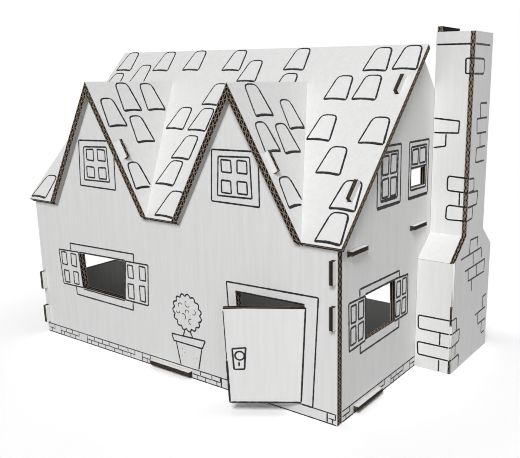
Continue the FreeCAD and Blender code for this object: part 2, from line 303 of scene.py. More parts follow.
def join(whole, part):
    """Adds a finished part to the mesh whole, by way of a scratch mesh."""
    scratch = bpy.data.meshes.new("scratch")
    part.to_mesh(scratch)
    part.free()
    whole.from_mesh(scratch)
    bpy.data.meshes.remove(scratch)


def add_paper(whole, part, sheet, outside=0, look="kraft", edge="cut"):
    """Adds a paper. outside is 1 or -1 for the side that has a look of its own, and 0 for neither."""
    for face in part.faces:
        towards = face.normal.dot(sheet.out)
        paper = edge if abs(towards) < 0.3 else look if towards * outside > 0.9 else "kraft"
        face.material_index = list(PAPERS).index(paper)
    join(whole, part)


# back defaults to the grey indoor liner, which is painted shade
def board(whole, sheet, clips=(), first=0.0, thickness=BOARD, front="white", back="grey", edge="cut"):
    """Adds the five papers of double-wall board to the mesh whole, from a depth of first."""
    height = (thickness - 3 * LINER) / 2
    add_paper(whole, liner(sheet, first, clips), sheet, 1, front, edge)
    add_paper(whole, wave(sheet, first + LINER, height, 0.0, clips), sheet, edge=edge)
    add_paper(whole, liner(sheet, first + LINER + height, clips), sheet, edge=edge)
    add_paper(whole, wave(sheet, first + 2 * LINER + height, height, 0.5, clips), sheet, edge=edge)
    add_paper(whole, liner(sheet, first + thickness - LINER, clips), sheet, -1, back, edge)


def pressed_tabs(whole, sheet, clips):
    """Tabs pressed thinner than the sheet, on its printed side. Their edges get a dark colour, painted shade
    for the shadow they lie in.
    """
    board(whole, sheet, clips, first=BOARD - TAB, thickness=TAB, back="white", edge="shaded_tab_edge")


def finish_piece(name, bm, materials=PAPERS.values(), replaces=None):
    """Puts a mesh into the model's frame as an object that rides on the house."""
    bm.transform(HOUSE)
    mesh = bpy.data.meshes.new(name)
    bm.to_mesh(mesh)
    bm.free()
    for used in materials:
        mesh.materials.append(used)
    piece = bpy.data.objects.new(name, mesh)
    bpy.context.scene.collection.objects.link(piece)
    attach(piece, "root")
    if replaces:
        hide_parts(replaces)
    print("%-22s %6d faces" % (name, len(mesh.polygons)))

# %% [markdown]
# ## The front wall and its door
#
# The door is cut on three sides and folded out on the fourth, so wall and leaf are one sheet and
# share a piece. The wall is sliced with the leaf's section taken out, and then the leaf is sliced
# along its own plane. The two are mitred where they meet, so that their papers run on round the fold.

# %% The door's fold
CORNER = Vector((0, 0, 0))
FRONT_WALL = Sheet("front_wall", -Y, Z, CORNER, "across")
DOOR = Sheet("front_wall", Vector((0.53, -0.85, 0)), Z, CORNER, "across")

wall_outline = [in_house(v.co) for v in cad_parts["front_wall"].data.vertices]
swung_out = [p.z for p in wall_outline if p.y < -1]
LEAF_GAP = 0.5                              # from the leaf to the middle of the cut round it
LEAF_TOP = max(swung_out) + LEAF_GAP
LEAF_FOOT = min(swung_out) - LEAF_GAP
below_head = (Z * LEAF_TOP, -Z)
above_sill = (Z * LEAF_FOOT, Z)

on_fold, beyond_fold = mitre(FRONT_WALL, DOOR, valley=True)
swing = FRONT_WALL.out.angle(DOOR.out)
fold_line = FRONT_WALL.out.cross(DOOR.out).normalized()
behind = Y * FRONT_BOARD
along = (-FRONT_BOARD - (behind - DOOR.origin).dot(DOOR.out)) / X.dot(DOOR.out)
hinge = behind + X * along                  # where the two back faces meet


def hinge_at(height):
    """How far to the right the leaning hinge lies at a height."""
    return (hinge + fold_line * (height - hinge.z) / fold_line.z).x


print("door swung out by %.1f degrees" % math.degrees(swing))
print("hinge from %.2f to %.2f" % (hinge_at(LEAF_FOOT), hinge_at(LEAF_TOP)))

# %% Front wall and door
def without_leaf(bm):
    """Takes the leaf's own section out of a slice of the wall."""
    bmesh.ops.bisect_plane(bm, geom=geometry(bm), dist=CLOSE, plane_co=on_fold, plane_no=beyond_fold)
    middles = [(face, face.calc_center_median()) for face in bm.faces]
    section = [face for face, c in middles
               if -4 * FRONT_BOARD < (c - on_fold).dot(beyond_fold) < 0 and LEAF_FOOT < c.z < LEAF_TOP]
    bmesh.ops.delete(bm, geom=section, context="FACES")


whole = bmesh.new()
board(whole, FRONT_WALL, clips=[without_leaf], thickness=FRONT_BOARD)
board(whole, DOOR, clips=[mitre(DOOR, FRONT_WALL, valley=True), below_head, above_sill],
      thickness=FRONT_BOARD)
finish_piece("front_wall_board", whole, replaces="front_wall")

# %% [markdown]
# ## Side walls
#
# The tabs that lock the side walls into the front wall and the roof are pressed thinner than the
# rest, and their edges get a dark colour, painted shade. A finished wall could be squeezed there, but
# its waves would squeeze into each other. So the wall is sliced up to the planes where its neighbours
# begin, and the tabs beyond them are sliced by themselves, with their papers closer together. Only
# the right wall has tabs that go up through the roof.

# %% Side walls
RIGHT_WALL = Sheet("right_wall", X, Z, Vector((WIDTH, 0, 0)), "up")
LEFT_WALL = Sheet("left_wall", -X, Z, CORNER, "up")
behind_front_wall = (Vector((0, FRONT_BOARD, 0)), Y)
roof_foot = Z * EAVE
under_roof = (roof_foot, -OFF_SLOPE)


def other_side(clip):
    """The clip that keeps what this one cuts off."""
    point, direction = clip
    return point, -direction


for name, sheet in (("right_wall", RIGHT_WALL), ("left_wall", LEFT_WALL)):
    whole = bmesh.new()
    board(whole, sheet, clips=[behind_front_wall, under_roof])
    pressed_tabs(whole, sheet, [other_side(behind_front_wall)])
    if sheet is RIGHT_WALL:
        pressed_tabs(whole, sheet, [other_side(under_roof), behind_front_wall])
    finish_piece(name + "_board", whole, replaces=name)

# %% [markdown]
# ## Floor and loft
#
# These two sheets lie flat and are held by tabs as well, the floor at the front and at both ends
# and the loft at its ends. Their tabs are made in the same way, but are pressed from below, so they
# lie level with the sheet's upper face. Indoors that face is given a grey that is painted shade for the dim
# rooms, while on the tabs it stays white.

# %% Floor and loft
for name in ("floor_panel", "loft_floor"):
    sheet = Sheet(name, Z, Y, CORNER, "up")
    indoors = [behind_front_wall, (X * BOARD, X), (X * (WIDTH - BOARD), -X)]
    whole = bmesh.new()
    # the upper face indoors is the grey liner, painted shade for the dim rooms; the tabs stay white
    board(whole, sheet, clips=indoors, front="grey")
    for tabs in indoors:
        # the tabs' dark edges are painted shade
        board(whole, sheet, clips=[other_side(tabs)], thickness=TAB, edge="shaded_tab_edge")
    finish_piece(name + "_board", whole, replaces=name)

# %% [markdown]
# ## Roofs
#
# The main roof is one flat sheet, notched for the dormers. A dormer's roof is one sheet folded at
# its ridge, so its two slopes are sliced apart and mitred there. Both slopes are in one piece.

# %% Roofs
ROOF = Sheet("main_roof", OFF_SLOPE, UP_SLOPE, roof_foot, "across")
whole = bmesh.new()
board(whole, ROOF)
finish_piece("main_roof_board", whole, replaces="main_roof")
DORMERS = []
for name in ("left_dormer_roof", "right_dormer_roof"):
    low, high = house_box(name)
    ridge = Vector(((low.x + high.x) / 2, 0, high.z))
    slopes = [Sheet(name, Vector((side * 0.87, 0, 0.5)), Vector((-side * 0.5, 0, 0.87)), ridge, "across")
              for side in (-1, 1)]
    DORMERS.append(slopes)
    whole = bmesh.new()
    board(whole, slopes[0], clips=[mitre(slopes[0], slopes[1])], thickness=FRONT_BOARD)
    board(whole, slopes[1], clips=[mitre(slopes[1], slopes[0])], thickness=FRONT_BOARD)
    finish_piece(name + "_board", whole, replaces=name)

# %% [markdown]
# ## Chimney
#
# The chimney is one sheet wrapped round four sides. Its foot is folded at the front corner, but the
# stack is narrower than the foot, so above the shoulders the side panel is cut free and its edge
# shows as a brown stripe of waves up the corner. Each flat stretch is sliced by itself and mitred
# to its neighbours at the folds. The two rounded folds are the CAD's own, given a liner's thickness.

# %% The chimney's measures
chimney_low, chimney_high = house_box("chimney")
outline = [in_house(v.co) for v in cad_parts["chimney"].data.vertices]
STACK_TOP = max(p.z for p in outline if p.x > chimney_high.x - 1)
stack_front = min(p.y for p in outline if p.z > STACK_TOP - 1)
stack_back = max(p.y for p in outline if p.z > STACK_TOP - 1)
FLUE_CENTRE = (chimney_low.y + chimney_high.y) / 2
against_wall = [p for p in outline if abs(p.x - WIDTH) < 0.1]
SHOULDER_START = max(p.z for p in against_wall if p.y < chimney_low.y + 0.1)
SHOULDER_END = min(p.z for p in against_wall if abs(p.y - stack_front) < 0.1)
tab_heights = sorted({round(p.z, 2) for p in outline if p.x < WIDTH - BOARD - 1})
TAB_TOPS = tab_heights[1::2]                # every second height is a tab's upper face
print("chimney top %.1f, shoulders %.1f to %.1f" % (STACK_TOP, SHOULDER_START, SHOULDER_END))
print("tops of its tabs", TAB_TOPS)

# %% The chimney's flat stretches
SIDE = Sheet("chimney", X, Z, Vector((chimney_high.x, FLUE_CENTRE, 0)), "across")
AT_WALL = Sheet("chimney", -X, Z, Vector((WIDTH, FLUE_CENTRE, 0)), "across")
FLANKS = []                                 # foot, shoulder and stack, in front and behind
for way, foot_y, stack_y in ((-1, chimney_low.y, stack_front), (1, chimney_high.y, stack_back)):
    crease = Vector((WIDTH, foot_y, SHOULDER_START))
    foot = Sheet("chimney", Y * way, Z, Vector((WIDTH, foot_y, 0)), "across")
    slant = Sheet("chimney", Vector((0, 0.63 * way, 0.77)), Z, crease, "across")
    stack = Sheet("chimney", Y * way, Z, Vector((WIDTH, stack_y, 0)), "across")
    FLANKS.append((foot, slant, stack))
FEET, SLANTS, STACKS = zip(*FLANKS)

below_shoulder = (Z * SHOULDER_START, -Z)
above_shoulder = (Z * SHOULDER_START, Z)
below_stack = (Z * SHOULDER_END, -Z)
above_stack = (Z * SHOULDER_END, Z)
below_top = (Z * STACK_TOP, -Z)
above_top = (Z * STACK_TOP, Z)
inside_of_side = (X * (chimney_high.x - BOARD), -X)
in_the_wall = (X * WIDTH, -X)
whole = bmesh.new()


def chimney_panel(sheet, *clips):
    """One flat stretch of the chimney, which has no lining inside. Its inner face takes the near-black kraft
    colour, painted shade for the dark inside the flue.
    """
    board(whole, sheet, clips=clips, back="kraft")


chimney_panel(SIDE, below_shoulder, *[mitre(SIDE, foot) for foot in FEET])
chimney_panel(SIDE, above_shoulder)
chimney_panel(AT_WALL, below_shoulder, *[mitre(AT_WALL, foot) for foot in FEET])
chimney_panel(AT_WALL, above_shoulder, below_stack, *[mitre(AT_WALL, slant) for slant in SLANTS])
chimney_panel(AT_WALL, above_stack, below_top, *[mitre(AT_WALL, stack) for stack in STACKS])
chimney_panel(AT_WALL, above_top)
for foot, slant, stack in FLANKS:
    chimney_panel(foot, mitre(foot, SIDE), mitre(foot, AT_WALL), mitre(foot, slant))
    chimney_panel(slant, inside_of_side, mitre(slant, AT_WALL), mitre(slant, foot),
                  mitre(slant, stack, valley=True))
    chimney_panel(stack, inside_of_side, mitre(stack, AT_WALL), mitre(stack, slant, valley=True))
for height in TAB_TOPS:
    chimney_panel(Sheet("chimney", Z, Y, Vector((WIDTH, FLUE_CENTRE, height)), "across"), in_the_wall)

# %% The chimney's rounded folds
folds = bmesh.new()
folds.from_mesh(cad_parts["chimney"].data)
folds.transform(HOUSE.inverted())
bmesh.ops.remove_doubles(folds, verts=folds.verts[:], dist=WELD)
flat = [f for f in folds.faces if min(abs(f.normal.x), abs(f.normal.y)) < 0.02]
bmesh.ops.delete(folds, geom=flat, context="FACES")
bmesh.ops.solidify(folds, geom=folds.faces[:], thickness=LINER)
for face in folds.faces:
    face.smooth = True
    aside = face.calc_center_median().y - FLUE_CENTRE
    outside = face.normal.x > 0 and face.normal.y * aside > 0
    # faces inside the folds take the near-black kraft colour, painted shade
    face.material_index = list(PAPERS).index("white" if outside else "kraft")
join(whole, folds)
finish_piece("chimney_board", whole, replaces="chimney")

# %% [markdown]
# ## Drawing in ink
#
# The house is printed with an outline drawing for children to colour in, so its lines have to look
# drawn: a little uneven in weight, with soft corners. A texture could carry them, but a line that is
# real geometry stays sharp from any distance. Each face gets one curve object that holds all of its
# strokes. A curve with a bevel is a tube along its points, and a radius at each point varies the
# weight. Turned into a mesh and pressed nearly flat, the tubes lie on the paper as ink does.
#
# Where a stroke runs off the board, `keep` drops the points that have no paper under them. Each
# drawing has a random hand of its own, started from its name, so every run gives the same lines.

# %% Strokes
LINE = 1.85               # weight of most lines
FINE = 1.3                # small bricks
BOLD = 2.9                # edges in shade: the foot of a roof tile, a sill
FLATNESS = 0.08           # height of a pressed stroke as a share of its width


def evenly(points, closed, step):
    """The same path with a point at least every step."""
    ring = [Vector(p) for p in points]
    ends = ring[1:] + ring[:1] if closed else ring[1:]
    path = []
    for start, end in zip(ring, ends):
        pieces = max(1, math.ceil((end - start).length / step))
        path += [start.lerp(end, k / pieces) for k in range(pieces)]
    return path if closed else path + [ring[-1]]


def soft(points, radius=1.5, closed=True):
    """The same outline with each corner turned into a short curve."""
    ring = [Vector(p) for p in points]
    path = []
    for k, corner in enumerate(ring):
        if not closed and k in (0, len(ring) - 1):
            path.append(corner)
            continue
        before = ring[k - 1] - corner
        after = ring[(k + 1) % len(ring)] - corner
        start = corner + before.normalized() * min(radius, before.length / 2)
        end = corner + after.normalized() * min(radius, after.length / 2)
        path += [start.lerp(corner, t).lerp(corner.lerp(end, t), t) for t in (0, 0.35, 0.65, 1)]
    return path

# %% A drawing on one face
class Drawing:
    """The ink on one face. matrix lays the xy plane on the face; keep says where there is paper."""

    def __init__(self, name, matrix, keep=None, step=2.5, heavier=1.0):
        self.name = name
        self.step = step
        self.heavier = heavier
        self.matrix = matrix
        self.keep = keep
        self.hand = random.Random(name)
        self.curve = bpy.data.curves.new(name, "CURVE")
        self.curve.dimensions = "3D"
        self.curve.twist_mode = "Z_UP"
        self.curve.bevel_depth = 1
        self.curve.bevel_resolution = 0
        self.curve.use_fill_caps = True

    def on_paper(self, point):
        return self.keep is None or self.keep(self.matrix @ Vector((*point, 0)))

    def spline(self, path, weight, closed):
        made = self.curve.splines.new("POLY")
        made.points.add(len(path) - 1)
        made.use_cyclic_u = closed
        for k, (place, point) in enumerate(zip(made.points, path)):
            tip = 0.6 if not closed and k in (0, len(path) - 1) else 1
            place.co = (*point, 0, 1)
            place.radius = weight / 2 * self.heavier * tip * self.hand.uniform(0.86, 1.14)

    def stroke(self, points, weight=LINE, closed=False):
        """Draws a line through the points, broken wherever there is no paper."""
        path = evenly(points, closed, self.step)
        if all(self.on_paper(p) for p in path):
            self.spline(path, weight, closed)
            return
        for kept, run in itertools.groupby(path + path[:1] if closed else path, self.on_paper):
            run = list(run)
            if kept and len(run) > 1:
                self.spline(run, weight, False)

    def shape(self, points, radius=1.5):
        self.stroke(soft(points, radius), closed=True)

    def box(self, left, bottom, right, top, radius=1.5):
        """A rectangle drawn by hand: no corner is quite where it should be."""
        corners = [(left, top), (right, top), (right, bottom), (left, bottom)]
        off = self.hand.uniform
        self.shape([(x + off(-0.5, 0.5), y + off(-0.5, 0.5)) for x, y in corners], radius)

    def dot(self, x, y, size=1.5):
        self.spline([(x - 0.3, y), (x + 0.3, y)], size, False)

    def print_on(self, reshape=None):
        """Turns the strokes into a flat mesh on the face. reshape may bend it further."""
        holder = bpy.data.objects.new(self.name, self.curve)
        flat = bpy.data.meshes.new_from_object(holder)
        bm = bmesh.new()
        bm.from_mesh(flat)
        bmesh.ops.scale(bm, vec=(1, 1, FLATNESS), verts=bm.verts[:])
        bm.transform(self.matrix)
        if reshape:
            reshape(bm)
        bpy.data.objects.remove(holder)
        finish_piece(self.name, bm, materials=(INK,))

# %% [markdown]
# ## Print on the walls
#
# The same few things come again and again: a window is a frame, a sash and four panes, and a
# shutter is a leaf with four panes. Bricks along the foot of the walls are two low courses, some of
# them run together, with a line over them and one under them. A wall's print is placed by
# millimetres from its lower corner at the front left of the house.

# %% The skirting
SKIRTING = 12.0           # height of the line over the bricks
COURSE = 6.0              # height of the lower course
WALL_FOOT = 1.0           # height at which the joints between bricks end


def skirting(ink, spans, way=1):
    """Two courses of bricks in each span, with a tall brick now and then."""
    for start, end in spans:
        x = start
        while x < end - 6:
            width = min(ink.hand.uniform(11, 18), end - x)
            joint = way * (x + width)
            tall = ink.hand.random() < 0.25
            if tall:
                ink.stroke([(joint, WALL_FOOT), (joint, SKIRTING)], FINE)
            else:
                middle = way * (x + width * ink.hand.uniform(0.35, 0.65))
                ink.stroke([(way * x, COURSE + 0.3), (joint, COURSE)], FINE)
                ink.stroke([(middle, WALL_FOOT), (middle, COURSE)], FINE)
                ink.stroke([(joint, COURSE), (joint, SKIRTING)], FINE)
            x += width


def foot_lines(ink, start, end, way=1):
    """The line over the bricks and the line under them."""
    for height in (SKIRTING, 0.9):
        ink.stroke([(way * start, height), (way * end, height)], FINE)

# %% Front wall: skirting and lower window
front = Drawing("front_wall_print", FRONT_WALL.matrix())
foot_lines(front, 1, WIDTH - 1)
skirting(front, ((3, 197), (266, 309), (449, WIDTH - 2)))
for x in (309, 447.3):
    front.stroke([(x, WALL_FOOT), (x, SKIRTING)])

front.stroke(soft([(63.8, 119.8), (63.1, 129.4), (180.2, 132.4), (179.2, 122.8)], 1, False))
front.stroke(soft([(68.2, 74), (68.7, 63.8), (173.1, 63), (173.6, 73.4)], 1, False))
front.shape([(39.2, 118.3), (78.5, 120.1), (82.1, 74.8), (42.7, 73.9)])
front.shape([(165.3, 121.8), (203.5, 122.9), (199.7, 73.7), (160.1, 73.6)])
for left, bottom, right, top in ((44, 100, 54, 115.8), (63.2, 100.4, 73, 116), (46.4, 77.4, 55.8, 92.6),
                                 (64.8, 77.4, 74.6, 93), (168, 102.6, 177.4, 118.2),
                                 (188.6, 103, 197.8, 119), (166.6, 77.2, 176.4, 94.8),
                                 (186.4, 77.1, 195.4, 95.8)):
    front.box(left, bottom, right, top, radius=1.0)
front.stroke([(79.2, 120.2), (164.8, 122.6)])
front.stroke([(82.4, 73.2), (160, 72.2)])

# %% Front wall: dormer windows and door frame
for outer, inner in ((((97.9, 258.7), (159.4, 260.6), (157.2, 204.8), (94.2, 205.1)),
                      ((106.2, 251.5), (146.5, 253.2), (147.8, 213.2), (102.7, 212.4))),
                     (((308.7, 260.1), (368.7, 261.1), (368.7, 207.2), (305.7, 207.4)),
                      ((317.1, 253.6), (357.9, 255.2), (359.5, 214.7), (314.3, 213.9)))):
    front.shape(outer)
    front.shape(inner)
for left, bottom in ((109.5, 215.8), (320.4, 217.6)):
    for x, y in ((0.6, 20.4), (20.9, 21.0), (-0.6, 0), (20.6, 0.2)):
        front.box(left + x, bottom + y, left + x + 12.9, bottom + y + 12.8, radius=1.2)

front.shape([(321.9, 124.1), (437.5, 127.5), (430.1, SKIRTING), (327.5, SKIRTING)])
front.stroke([(333.2, 115.6), (hinge_at(117), 117.8)])

# %% [markdown]
# The potted tree is a plain one: a pot with a rim, a short stem, and a crown whose outline swells
# and dips as it goes round, which one formula gives.

# %% The potted tree
front.shape([(236, 47.9), (287.7, 49.9), (282.7, 39.9), (238.5, 40)])
front.stroke(soft([(242.5, 39.6), (248.3, SKIRTING)], 1, False))
front.stroke(soft([(281.9, 39.1), (275.7, 13)], 1, False))
front.stroke([(257.1, 56.6), (254.2, 48.6)])
front.stroke([(264.9, 57.2), (268.9, 49.4)])
CROWN_X, CROWN_Y = 261.8, 77.4
HALF_WIDE, HALF_HIGH = 20.3, 20.2
BULGES = 15
CROWN_POINTS = 132
crown = []
for k in range(CROWN_POINTS):
    turn = 2 * math.pi * k / CROWN_POINTS
    swell = 1 + 0.15 * abs(math.sin(BULGES / 2 * turn)) - 0.07
    crown.append((CROWN_X + HALF_WIDE * swell * math.cos(turn), CROWN_Y + HALF_HIGH * swell * math.sin(turn)))
front.stroke(crown, closed=True)
# curls in the crown: middle, radius and the angle at which each starts
for x, y, size, start in ((252, 84, 3.2, 0.4), (263, 88, 3.6, 2.2), (272, 80, 3.0, 4.0), (256, 72, 3.4, 5.2),
                          (267, 68, 3.2, 1.2), (248, 77, 2.4, 3.0), (262, 78, 2.8, 0.0)):
    curl = [(x + size * math.cos(start + t / 2), y + size * math.sin(start + t / 2)) for t in range(8)]
    front.stroke(curl, 1.0)
# specks on the pot
for x, y in ((252, 33), (254.5, 29), (251.5, 24), (256, 36), (271, 20), (268, 24.5), (273, 26)):
    front.dot(x, y)
front.print_on()

# %% [markdown]
# ## Print on the door
#
# The leaf was printed flat, as part of the wall, and folded out afterwards. So its drawing is set
# out in the wall's coordinates and swung about the hinge, the line where the two back faces meet.

# %% Door leaf
about_hinge = (Matrix.Translation(hinge) @ Matrix.Rotation(swing, 4, fold_line)
               @ Matrix.Translation(-hinge))
door = Drawing("door_print", about_hinge @ FRONT_WALL.matrix())
door.shape([(345.3, 72.4), (358.7, 73.5), (356.6, 50.5), (346.2, 50.4)], radius=1)
KNOB_X, KNOB_Y, KNOB_RADIUS = 352.4, 65, 4.6
turns = [t * math.pi / 10 for t in range(20)]
door.stroke([(KNOB_X + KNOB_RADIUS * math.cos(t), KNOB_Y + KNOB_RADIUS * math.sin(t)) for t in turns],
            closed=True)
door.stroke([(351.6, 58.3), (351.3, 53.6)], 2.0)
door.dot(351.6, 58, 3.0)
door.stroke([(338.3, 112.6), (339.4, 60)], 1.0)
door.stroke([(339.4, 60), (340.4, 14.3)], 2.2)
BY_HINGE = 3.2            # from the hinge to the line beside it
foot_of_line = (hinge_at(12.6) - BY_HINGE, 14.3)
head_of_line = (hinge_at(117) - BY_HINGE, 114.8)
door.stroke([(340.4, 14.3), foot_of_line])
door.stroke([foot_of_line, head_of_line])
door.print_on()

# %% [markdown]
# ## Print on the side walls
#
# Both side walls carry the same drawing, one the mirror of the other, so one function draws it with
# its distances counted forwards or backwards. The upper windows run under the roof's edge in places,
# and there only the points that lie on the wall are kept.

# %% Print on the side walls
KEEP_OFF = 0.6            # ink stays this far from the next sheet
UPPER_WINDOWS = ((72, 121.3), (139.8, 187.9))            # from the front, over their frames


def on_side_wall(point):
    below_roof = (point - roof_foot).dot(OFF_SLOPE) < -1
    return below_roof and point.y > FRONT_BOARD + KEEP_OFF


def panes(ink, left, bottom, right, top, across, up, bar):
    """A grid of panes with bars of the given width between them."""
    wide = (right - left - bar * (across - 1)) / across
    high = (top - bottom - bar * (up - 1)) / up
    for i in range(across):
        for j in range(up):
            x = left + i * (wide + bar)
            y = bottom + j * (high + bar)
            ink.box(x, y, x + wide, y + high, radius=1.0)


def side_wall_print(name, sheet, way):
    def at(*points):
        return [(way * y, z) for y, z in points]

    def span(low, high):
        return (low, high) if way > 0 else (-high, -low)

    ink = Drawing(name, sheet.matrix(), on_side_wall, heavier=1.25)
    foot_lines(ink, 9, DEPTH - 1, way)
    skirting(ink, ((9, 29), (83, DEPTH - 42)), way)
    # the lower window with its shutters
    ink.stroke(at((40.7, 120.5), (40.4, 128.7), (123.5, 127.4), (123.8, 120.8)))
    ink.stroke(at((42.3, 69.8), (42.5, 60.9), (125.5, 62), (125.3, 71.8)))
    ink.shape(at((20, 119.8), (51.2, 119), (52.2, 71.5), (21.4, 70.2)))
    ink.shape(at((113.5, 120.4), (144.3, 118.2), (145.6, 72.2), (115.6, 72.2)))
    ink.stroke(at((51, 120.6), (114, 120.2)))
    for low, high in ((24.5, 47.8), (118.2, 141)):
        left, right = span(low, high)
        panes(ink, left, 75.6, right, 115.6, 2, 2, 4.6)
    # the two upper windows, the rear one with its lower half open
    for low, high in UPPER_WINDOWS:
        left, right = span(low, high)
        ink.box(left, 203.2, right, 263.6)
    left, right = span(79.5, 114.5)
    ink.box(left, 209.5, right, 257.5)
    panes(ink, left + 2.6, 212.5, right - 2.6, 254.5, 2, 2, 4.5)
    ink.stroke([(left, 209.5), (right, 209.5)], BOLD)
    left, right = span(145, 182.6)
    ink.box(left, 211.8, right, 258.2)
    panes(ink, left + 3, 239, right - 3, 255.2, 2, 1, 4.5)
    ink.stroke([(left, 235.6), (right, 235.6)])
    for low, high in UPPER_WINDOWS:
        ink.stroke(at((low, 203.2), (high, 203.2)), BOLD)
    ink.print_on()


side_wall_print("right_wall_print", RIGHT_WALL, 1)
side_wall_print("left_wall_print", LEFT_WALL, -1)

# %% [markdown]
# ## Roof tiles
#
# A tile is a flat-footed arch, inked heavier below and down its right side, as if lit from the upper
# left. Tiles are scattered rather than laid in rows, which suggests a tiled roof without filling it.
# Some of them run under a dormer, and there the dormer's own planes decide which points to keep.

# %% Tiles
SHADED = 2.3              # weight of a tile's right side


def tile(ink, x, y, width=28.5, height=33.0, crown=19.0):
    inset = (width - crown) / 2
    right = x + width
    top = y + height
    arch = soft([(x, y), (x + inset, top), (right - inset, top), (right, y)], 6, False)
    ink.stroke(arch)
    ink.stroke(arch[-3:-1] + [arch[-1].lerp(arch[-2], 0.3), arch[-1]], SHADED)
    ink.stroke(soft([(x, y), (x + width * 0.45, y + 1.3), (right, y - 0.4)], 9, False), BOLD)


def clear_of_dormers(point):
    """Whether the point lies outside both folded roofs."""
    return all(any((point - slope.origin).dot(slope.out) > KEEP_OFF for slope in slopes)
               for slopes in DORMERS)


def above_main_roof(point):
    return (point - roof_foot).dot(OFF_SLOPE) > BOARD + KEEP_OFF


roof = Drawing("main_roof_print", ROOF.matrix(), clear_of_dormers)
for x, s in ((2.9, 213), (75.8, 212), (131, 212.5), (199.5, 211.5), (294.7, 211.7), (402.1, 209.6),
             (436.8, 211.4), (233.3, 194), (370.1, 169.4), (405, 170.1), (163.6, 118.7), (199.9, 118.3),
             (199.4, 77.2), (373.1, 115.2), (435.7, 114.6), (402.9, 75.3), (198.1, 40.8), (435.9, 37),
             (436.2, 0.6), (223.8, 1.2), (-1.1, 1), (0.1, 174.5), (44.1, 189), (295.1, 173)):
    tile(roof, x, s)
tile(roof, 199.2, 157, width=25)
roof.print_on()

# left and right edge along the ridge, bottom and top measured down from it
TILES_ON_DORMERS = (
    ((29.9, 55.6, 39, 2.5), (65.3, 92.6, 39.6, 3.5), (-0.4, 24.6, 57.5, 22), (28.6, 54, 80, 46),
     (-2.4, 19.5, 135, 103)),
    ((13.5, 40.6, 37.5, 2.5), (57, 81.9, 54.6, 21.2), (3, 26, 76, 43.8), (31.4, 56.7, 80, 47.5),
     (-0.4, 24, 134, 103)),
)
for slopes, tiles, which in zip(DORMERS, TILES_ON_DORMERS, ("left", "right")):
    for slope, way, side in ((slopes[0], -1, "left"), (slopes[1], 1, "right")):
        ink = Drawing(which + "_dormer_print_" + side, slope.matrix(), above_main_roof)
        for near, far, bottom, top in tiles:
            tile(ink, near if way > 0 else -far, -bottom, far - near, bottom - top, crown=(far - near) * 0.67)
        ink.print_on()

# %% [markdown]
# ## Bricks on the chimney
#
# Only a few bricks show, some of them carried round the corner from the front to the side. The foot
# has a rounded fold there, so ink that crosses it is bent round it after it is laid down.

# %% Ink round a fold
HALF_FOOT = (chimney_high.y - chimney_low.y) / 2
FOLD = 3.5                # radius of the rounded folds


def round_the_fold(bm):
    """Moves ink near the foot's two folds from the flat faces onto the round ones."""
    for way in (-1, 1):
        centre = Vector((chimney_high.x - FOLD, FLUE_CENTRE + way * (HALF_FOOT - FOLD)))
        for v in bm.verts:
            across = v.co.x - centre.x
            aside = (v.co.y - centre.y) * way
            if across > 0 and aside > 0 and v.co.z < SHOULDER_START:
                rise = max(across, aside) - FOLD
                scale = (FOLD + rise) / math.hypot(across, aside)
                v.co.x = centre.x + across * scale
                v.co.y = centre.y + aside * way * scale


def draw(ink, strokes, way=1):
    """Lays down open strokes with soft corners, mirrored if way is -1."""
    for points in strokes:
        ink.stroke(soft([(way * x, z) for x, z in points], closed=False))


# %% Print on the chimney's front and back
# distances from the wall, and heights from the table
STACK_BRICKS = (
    ((1, 365), (41, 365)),
    ((44.8, 350.2), (35, 350), (35.3, 334.4), (44.8, 334.2)),
    ((0.4, 286.1), (30.8, 283.8), (30.2, 270.8), (1, 270.1)),
    ((15.5, 269.6), (15.5, 255.8), (1, 253.3)),
    ((44.8, 221.6), (21, 222.6), (19.5, 220), (19.5, 207.4), (21.7, 206.2), (44.8, 205.4)),
    ((34.4, 205.6), (34.6, 189.7)),
    ((44.8, 189), (22.4, 189.6), (19.6, 187), (19, 174.3), (21.9, 172.8), (44.8, 173.5)),
)
FOOT_BRICKS = (
    ((45, 64.7), (4.6, 64), (3.4, 62.6), (3.8, 49.2), (5.8, 47.8), (45, 48.2)),
    ((31, 47.8), (31, 33)),
    ((45, 32.1), (5, 31.5), (3.1, 30.5), (4.2, 17), (5.5, 16.1), (45, 16.5)),
    ((30.8, 14.7), (30.8, 0.8)),
)
ROUND_A_FOLD = 0.7        # between points of a stroke that has to bend
for names, flank, way in ((("chimney_front_print", "chimney_foot_print"), FLANKS[0], 1),
                          (("chimney_back_print", "chimney_foot_back_print"), FLANKS[1], -1)):
    foot, slant, stack = flank
    upper = Drawing(names[0], stack.matrix())
    draw(upper, STACK_BRICKS, way)
    upper.print_on()
    lower = Drawing(names[1], foot.matrix(), step=ROUND_A_FOLD)
    draw(lower, FOOT_BRICKS, way)
    lower.print_on(round_the_fold)

